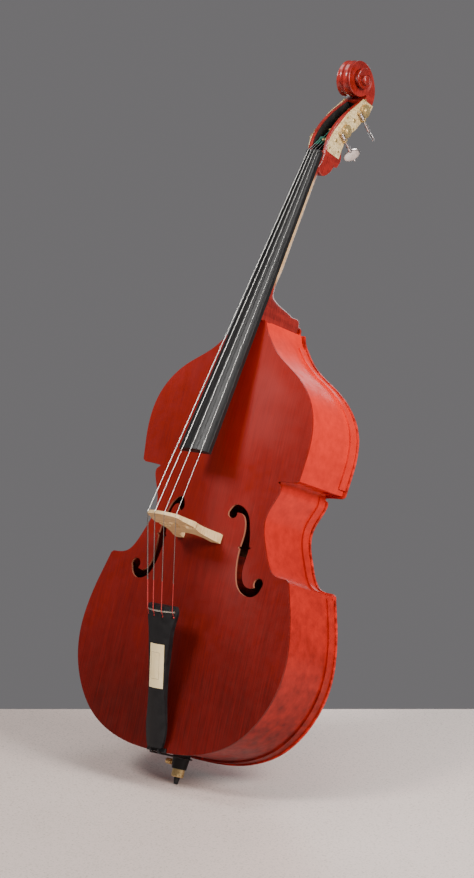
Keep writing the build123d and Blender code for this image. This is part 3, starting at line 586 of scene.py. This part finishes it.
def headPoint(across, inward, up):
    # a point of the head, from its distances across, behind the base line and along it
    return (headStart + np.multiply.outer(inward, headIn) + np.multiply.outer(up, headUp)
            + np.multiply.outer(across, [1.0, 0, 0]))


def neckSkin():
    # each ring runs from the seat under the board round the back: its half width shrinks along the depth f by
    # a line times the n-th root curve (1 - f^n)^(1/n), and n grows from a round shaft to a square heel
    s = neckShape
    t = np.linspace(0, 1, s["along"])
    run = smoothThrough([(0, s["nutRun"] + 0.004), (0.6, 0.10), (0.72, 0.062), (0.82, 0.040), (0.92, 0.020),
                         (1, 0.0071)], t)
    seat = heelEdge + runWay * run[:, None] + seatWay * boardEdge
    last = np.array([bodyFront + 0.1677, bodyBottom + 1.108])
    depth = bodyFront
    rear = np.stack([
        smoothThrough([(0, seat[0, 0] + s["shaftThick"][0] * seatWay[0]), (0.6, depth + 0.0325),
                       (0.72, depth + 0.0405), (0.82, depth + 0.068), (0.92, depth + 0.128), (0.985, last[0]),
                       (1, last[0])], t),
        smoothThrough([(0, seat[0, 1] + s["shaftThick"][0] * seatWay[1]), (0.6, bodyBottom + 1.195),
                       (0.72, bodyBottom + 1.176), (0.82, bodyBottom + 1.1635), (0.92, bodyBottom + 1.1475),
                       (0.985, bodyBottom + 1.130), (1, last[1])], t)], -1)
    # the shaft's own rings stay square to it
    thick = np.interp(run, [0.10, s["nutRun"]], [s["shaftThick"][1], s["shaftThick"][0]])
    square = seat + seatWay * thick[:, None]
    weight = np.clip((t - 0.46) / 0.14, 0, 1)
    weight = (weight * weight * (3 - 2 * weight))[:, None]
    rear = square * (1 - weight) + rear * weight
    seatHalf = np.minimum(s["seatHalf"] + s["halfGrowth"] * (s["nutRun"] - run), s["heelHalf"])
    narrowing = smoothThrough([(0, 1.0), (0.6, 0.98), (0.72, 0.86), (0.85, 0.70),
                               (1, s["buttonHalf"] / s["heelHalf"])], t)
    rearHalf = narrowing * seatHalf
    power = smoothThrough([(0, 2.2), (0.55, 2.3), (0.72, 3.2), (0.86, 6.5), (1, 14)], t)
    angle = np.linspace(0, math.pi, s["around"])
    f = np.sin(angle)
    width = (seatHalf[:, None] + (rearHalf - seatHalf)[:, None] * f) * np.sign(np.cos(angle)) \
        * (1 - f[None] ** power[:, None]).clip(0) ** (1 / power[:, None])
    ring = seat[:, None] + (rear - seat)[:, None] * f[None, :, None]
    rings = np.concatenate([width[..., None], ring], -1)
    return closedLoft(rings)


points, faces = neckSkin()
neckShaft = addMesh("neckShaft", points, faces, neckMaple, "bass", 50)
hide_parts("neck")

pegbox = {
    "slotHalf": 0.0195, "edge": 0.0025, "along": 240,
    "front": [(-0.054, 0.0192), (-0.020, 0.0080), (-0.006, 0.000), (0.022, -0.0147), (0.065, -0.0220),
              (0.107, -0.0190), (0.147, -0.0110), (0.180, -0.002), (0.214, 0.006)],
    "rear": [(-0.054, 0.0290), (-0.0525, 0.0400), (-0.050, 0.0470), (-0.046, 0.0515), (-0.040, 0.0550),
             (-0.028, 0.0580), (-0.014, 0.0588), (-0.006, 0.0586), (-0.003, 0.0610), (0.000, 0.0645),
             (0.012, 0.0652), (0.024, 0.0635), (0.034, 0.0535), (0.044, 0.0440), (0.058, 0.0385),
             (0.080, 0.0350), (0.120, 0.0380), (0.150, 0.0410), (0.180, 0.0432), (0.214, 0.0405)],
    "half": [(-0.054, 0.0205), (-0.050, 0.0228), (-0.040, 0.0250), (-0.020, 0.0272), (-0.0065, 0.0282),
             (-0.003, 0.0298), (0.190, 0.0298), (0.214, 0.0285)],
    "slotDepth": [(-0.054, 0.0), (-0.006, 0.0), (0.000, 0.030), (0.014, 0.0400), (0.080, 0.0440),
                  (0.130, 0.0420), (0.170, 0.0390), (0.188, 0.022), (0.193, 0.0), (0.214, 0.0)],
}


def pegboxSkin():
    # each ring is a U: round the outside, then down one wall of the slot, across its floor and up the other
    p = pegbox
    up = np.linspace(p["front"][0][0], p["front"][-1][0], p["along"])
    front, rear = (smoothThrough(p[key], up)[:, None] for key in ("front", "rear"))
    half = np.interp(up, *np.array(p["half"]).T)[:, None]
    floor = front + np.interp(up, *np.array(p["slotDepth"]).T)[:, None] + 0.0001
    e, slot = p["edge"], p["slotHalf"]
    quarter = np.linspace(0, math.pi / 2, 6)
    slot = np.minimum(slot, half - 0.003)

    def corner(x, k, sideX, sideK, start):
        # a rounded corner's points: its centre lies an edge radius inside both faces
        a = quarter if start else quarter[::-1]
        return x - sideX * e + sideX * e * np.cos(a)[None], k - sideK * e + sideK * e * np.sin(a)[None]

    columns = [
        corner(half, rear, 1, 1, True),
        corner(-half, rear, -1, 1, False),
        corner(-half, front, -1, -1, True),
        (np.concatenate([-slot, -slot, slot, slot], 1), np.concatenate([front, floor, floor, front], 1)),
        corner(half, front, 1, -1, False),
    ]
    pairs = [np.broadcast_arrays(x, k) for x, k in columns]
    across = np.concatenate([x for x, k in pairs], 1)
    inward = np.concatenate([k for x, k in pairs], 1)
    rings = headPoint(across, inward, np.broadcast_to(up[:, None], across.shape))
    return closedLoft(rings)


points, faces = pegboxSkin()
addMesh("pegboxWalls", points, faces, neckMaple, "bass", 38)


def slotSkin():
    # a thin black U that lines the slot's walls and floor
    p = pegbox
    up = np.linspace(0.002, 0.1885, 60)[:, None]
    front = smoothThrough(p["front"], up[:, 0])[:, None] + 0.0022
    floor = front - 0.0024 + np.interp(up, *np.array(p["slotDepth"]).T)
    wall, skin = p["slotHalf"], 0.0004
    inner = wall - skin
    walls = (-wall, -wall, wall, wall, inner, inner, -inner, -inner)
    across = np.concatenate([np.full_like(up, x) for x in walls], 1)
    inward = np.concatenate([front, floor, floor, front, front, floor - skin, floor - skin, front], 1)
    return closedLoft(headPoint(across, inward, np.broadcast_to(up, across.shape)))


points, faces = slotSkin()
addMesh("slotLining", points, faces, slotBlack, "bass", 38)

scroll = {
    "centre": (-0.038, 0.226), "along": 260, "eyeHalf": 0.0440, "eyeRadius": 0.0125, "fluteDepth": 0.0042,
    "lip": 0.9, "lipRound": 0.0016, "sideDip": 0.0042,
    # degrees turned, radius, half width
    "turns": [(-14, 0.0815, 0.0290), (12, 0.0680, 0.0272), (40, 0.0570, 0.0240), (70, 0.0520, 0.0208),
              (100, 0.0503, 0.0190), (180, 0.0510, 0.0190), (240, 0.0505, 0.0220), (300, 0.0450, 0.0262),
              (360, 0.0395, 0.0290), (450, 0.0345, 0.0315), (540, 0.0300, 0.0340), (630, 0.0255, 0.0365),
              (720, 0.0210, 0.0390), (810, 0.0165, 0.0412), (900, 0.0130, 0.0425)],
}


def scrollSkin():
    # a spiral ribbon: its radius shrinks and its half width grows with the turn; the outer face has two
    # hollow flutes with a ridge between, and each side face dips from its lip towards the next turn in
    c = scroll
    turn = np.linspace(c["turns"][0][0], c["turns"][-1][0], c["along"])
    radius, half = smoothThrough(c["turns"], turn).T
    inside = smoothThrough(c["turns"], np.minimum(turn + 360, 900))[:, 0] * 0.86
    inside = np.where(turn > 540, np.minimum(inside, 0.012), inside)
    v = np.linspace(-1, 1, 33)
    lip = c["lip"]
    flute = np.where(np.abs(v) < lip, np.sin(math.pi * np.abs(v) / lip), 0)
    fade = np.clip((turn + 10) / 60, 0, 1)[:, None]
    wide = (half / 0.024).clip(0.8, 1.25)[:, None]
    outerRadius = radius[:, None] - c["fluteDepth"] * flute[None] * fade * wide
    outerRadius = outerRadius - c["lipRound"] * np.clip((np.abs(v) - lip) / (1 - lip), 0, 1)[None] ** 2
    outerAcross = half[:, None] * v[None]
    q = np.linspace(0, 1, 9)[1:]
    dip = c["sideDip"] * np.sin(q * math.pi * 0.62)
    sideRadius = (radius - c["lipRound"])[:, None] * (1 - q)[None] + inside[:, None] * q[None]
    rightAcross = half[:, None] - dip[None] * np.clip(half / 0.024, 0.8, 1.2)[:, None]
    across = np.concatenate([outerAcross, rightAcross, -rightAcross[:, ::-1]], 1)
    away = np.concatenate([outerRadius, sideRadius, sideRadius[:, ::-1]], 1)
    angle = np.radians(turn)[:, None]
    inward = c["centre"][0] + away * np.cos(angle)
    up = c["centre"][1] + away * np.sin(angle)
    return closedLoft(headPoint(across, inward, up))


def scrollEye():
    # a button through the scroll with softly rounded faces
    c = scroll
    r, h = c["eyeRadius"], c["eyeHalf"]
    profile = [(-h, 0.0005), (-h, r * 0.55), (-h + 0.0008, r * 0.8), (-h + 0.0028, r * 0.97), (-h + 0.006, r),
               (h - 0.006, r), (h - 0.0028, r * 0.97), (h - 0.0008, r * 0.8), (h, r * 0.55), (h, 0.0005)]
    origin = headPoint(np.array(0.0), np.array(c["centre"][0]), np.array(c["centre"][1]))
    return turned(profile, origin, (1, 0, 0), 48)


points, faces = joined([scrollSkin(), scrollEye()])
addMesh("scrollVolute", points, faces, neckMaple, "bass", 48)
print("neck, pegbox and scroll made")

# Tuning machines: keys, gear screws and the strings' windings
machines = {
    # radius of the string, side of its machine, and the roller's place up the head
    "strings": {"e": (0.0014, -1, 0.040), "a": (0.0011, -1, 0.130),
                "d": (0.0009, 1, 0.175), "g": (0.0007, 1, 0.083)},
    "spread": (-0.012, -0.004, 0.004, 0.012), "middle": 0.039, "gearRadius": 0.017, "wormRadius": 0.0052,
    "barrel": 0.006, "windings": 5,
    "capSeat": 0.0415, "buttonSeat": 0.0312,
    # (distance along, radius) of the gear's cap and of the button on the roller's far end
    "cap": [(0.0, 0.0074), (0.0016, 0.0074), (0.0026, 0.0066), (0.0032, 0.0048), (0.0035, 0.0002)],
    "button": [(0.0, 0.0056), (0.0010, 0.0056), (0.0018, 0.0046), (0.0022, 0.0002)],
}
keyShape = {"turns": {"e": 33.0, "a": 70.0, "d": -38.0, "g": 52.0}, "half": (0.0235, 0.0162), "thick": 0.0029,
            "centre": 0.062, "ballStart": 0.0762, "ballLength": 0.0068, "ballRadius": 0.0034,
            "collar": [(0.0325, 0.0031), (0.033, 0.0048), (0.0355, 0.0052), (0.0365, 0.0042),
                       (0.0385, 0.0040), (0.042, 0.0046), (0.0465, 0.0054), (0.051, 0.0042), (0.055, 0.0022)]}


def rollerIn(place):
    return 0.006 + (place - 0.040) * 0.12


def keySkin(name):
    # an oval paddle, thick in its middle and thin at its rim, with a turned collar and a ball
    radius, side, place = machines["strings"][name]
    wormUp = place - side * (machines["gearRadius"] + machines["wormRadius"])
    middle = headPoint(np.array(side * machines["middle"]), np.array(rollerIn(place)), np.array(wormUp))
    turn = math.radians(keyShape["turns"][name])
    across = np.array([math.cos(turn), 0, 0]) + headUp * math.sin(turn)
    normal = np.cross(across, headIn)
    angle = np.linspace(0, 2 * math.pi, 56, endpoint=False)
    rim = np.linspace(-1, 1, 15)
    share = (1 - np.abs(rim) ** 3.2) ** (1 / 2.6)
    oval = np.stack([np.cos(angle) * keyShape["half"][0], np.sin(angle) * keyShape["half"][1]], -1)
    lift = np.sign(rim) * np.abs(rim) ** 1.4 * keyShape["thick"]
    rings = (middle + headIn * keyShape["centre"]
             + (oval[None, :, 0] * share[:, None])[..., None] * across
             + (oval[None, :, 1] * share[:, None])[..., None] * headIn + lift[:, None, None] * normal)
    k = keyShape
    a = np.linspace(0.02, math.pi - 0.02, 14)
    ball = np.stack([k["ballStart"] + k["ballLength"] * (1 - np.cos(a)) / 2,
                     np.maximum(k["ballRadius"] * np.sin(a), 0.0001)], -1)
    collarSkin = turned(k["collar"], middle, headIn, 28)
    return joined([closedLoft(rings), collarSkin, turned(ball, middle, headIn, 24)])


def windingSkin(spread, name):
    # a helix round the roller's barrel that starts where the string meets it
    radius, side, place = machines["strings"][name]
    out = machines["barrel"] + radius + 0.0001
    turn = np.linspace(0, 2 * math.pi * machines["windings"], 30 * machines["windings"])
    across = spread * 0.8 + side * (2 * radius + 0.0002) * turn / (2 * math.pi) * 0.5
    inward = rollerIn(place) - out * np.cos(turn)
    up = place + out * np.sin(turn)
    return tube(headPoint(across, inward, up), radius, 8)


for spread, name in zip(machines["spread"], machines["strings"]):
    points, faces = keySkin(name)
    paddle = addMesh(f"keyPaddle_{name}", points, faces, keyNickel, f"key_body_{name}", 60)
    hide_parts(f"key_{name}")
    points, faces = windingSkin(spread, name)
    addMesh(f"winding_{name}", points, faces, windingSteel, f"roller_body_{name}", 60)
    radius, side, place = machines["strings"][name]
    hub = headPoint(np.array(side * machines["capSeat"]), np.array(rollerIn(place)), np.array(place))
    points, faces = turned(machines["cap"], hub, (side, 0, 0), 36)
    addMesh(f"gearCap_{name}", points, faces, gearBrass, f"roller_body_{name}", 40)
    # the roller's far end shows as a small domed button on the other plate
    farEnd = headPoint(np.array(-side * machines["buttonSeat"]), np.array(rollerIn(place)), np.array(place))
    points, faces = turned(machines["button"], farEnd, (-side, 0, 0), 32)
    addMesh(f"shaftButton_{name}", points, faces, gearBrass, "bass", 40)
print("machines made")

# Stage, light and camera
room = {
    "floorHalf": 2.6, "floorBehind": 0.73, "floorAhead": 3.2, "floorColour": (0.72, 0.60, 0.545),
    "world": (0.165, 0.160, 0.165), "worldStrength": 1.0,
}
standUp = Vector((0, -0.3407, 0.9402))      # straight up for the leaning bass
cameraView = {
    "place": (4.4974, -5.6059, 0.1119), "right": (0.7727, 0.5968, 0.2163), "down": (0.1036, 0.2176, -0.9705),
    "forward": (-0.6263, 0.7723, 0.1063), "lens": 116.95,
}

floorMaterial, nodes, links, shader, place = startMaterial("floorStone")
speckle = noise(nodes, links, place, 190, 3, 0.7)
patch = noise(nodes, links, place, 2.2, 3, 0.5)
darker = tuple(c * 0.93 for c in room["floorColour"])
base = ramp(nodes, links, patch, [(0.3, darker), (0.7, room["floorColour"])])
links.new(mixed(nodes, links, ranged(nodes, links, speckle, 0.54, 0.66, 0, 0.8), base, (0.34, 0.28, 0.24)),
          shader.inputs["Base Color"])
shader.inputs["Roughness"].default_value = 0.42

flat = -Vector(cameraView["forward"])
towardCamera = (flat - standUp * flat.dot(standUp)).normalized()
acrossFloor = standUp.cross(towardCamera)
corners = [acrossFloor * x + towardCamera * y for x, y in
           ((-room["floorHalf"], -room["floorBehind"]), (room["floorHalf"], -room["floorBehind"]),
            (room["floorHalf"], room["floorAhead"]), (-room["floorHalf"], room["floorAhead"]))]
floorMesh = bpy.data.meshes.new("floor")
floorMesh.from_pydata([tuple(c - standUp * 0.0004) for c in corners], [], [(0, 1, 2, 3)])
floorMesh.materials.append(floorMaterial)
floor = bpy.data.objects.new("floor", floorMesh)
bpy.context.scene.collection.objects.link(floor)

world = bpy.data.worlds.new("room")
bpy.context.scene.world = world
world.use_nodes = True
world.node_tree.nodes["Background"].inputs[0].default_value = (*room["world"], 1)
world.node_tree.nodes["Background"].inputs[1].default_value = room["worldStrength"]


def addLight(name, place, aim, size, power, colour=(1, 1, 1)):
    light = bpy.data.lights.new(name, "AREA")
    light.shape = "RECTANGLE"
    light.size, light.size_y = size
    light.energy = power
    light.color = colour
    lamp = bpy.data.objects.new(name, light)
    bpy.context.scene.collection.objects.link(lamp)
    way = (Vector(aim) - Vector(place)).normalized()
    lamp.rotation_euler = way.to_track_quat("-Z", "Y").to_euler()
    lamp.location = place


addLight("ceilingLight", (0.2, -1.4, 4.0), (0, 0, 0.8), (1.6, 1.6), 45)
addLight("keyLight", (-1.3, -4.4, 3.1), (0, 0, 0.9), (1.3, 1.3), 200, (1.0, 0.98, 0.96))
addLight("sideLight", (3.6, -1.3, 2.3), (0, 0, 1.0), (1.5, 1.6), 230, (1.0, 0.97, 0.94))
addLight("backLight", (-1.6, 3.4, 2.6), (0, 0, 0.9), (2.4, 2.4), 35)

camera = bpy.data.objects.new("camera", bpy.data.cameras.new("camera"))
bpy.context.scene.collection.objects.link(camera)
right, up, behind = (Vector(cameraView["right"]), -Vector(cameraView["down"]), -Vector(cameraView["forward"]))
camera.matrix_world = Matrix((
    (right.x, up.x, behind.x, cameraView["place"][0]),
    (right.y, up.y, behind.y, cameraView["place"][1]),
    (right.z, up.z, behind.z, cameraView["place"][2]),
    (0, 0, 0, 1),
))
camera.data.lens = cameraView["lens"]
camera.data.sensor_width = 36
bpy.context.scene.camera = camera
print("stage ready")
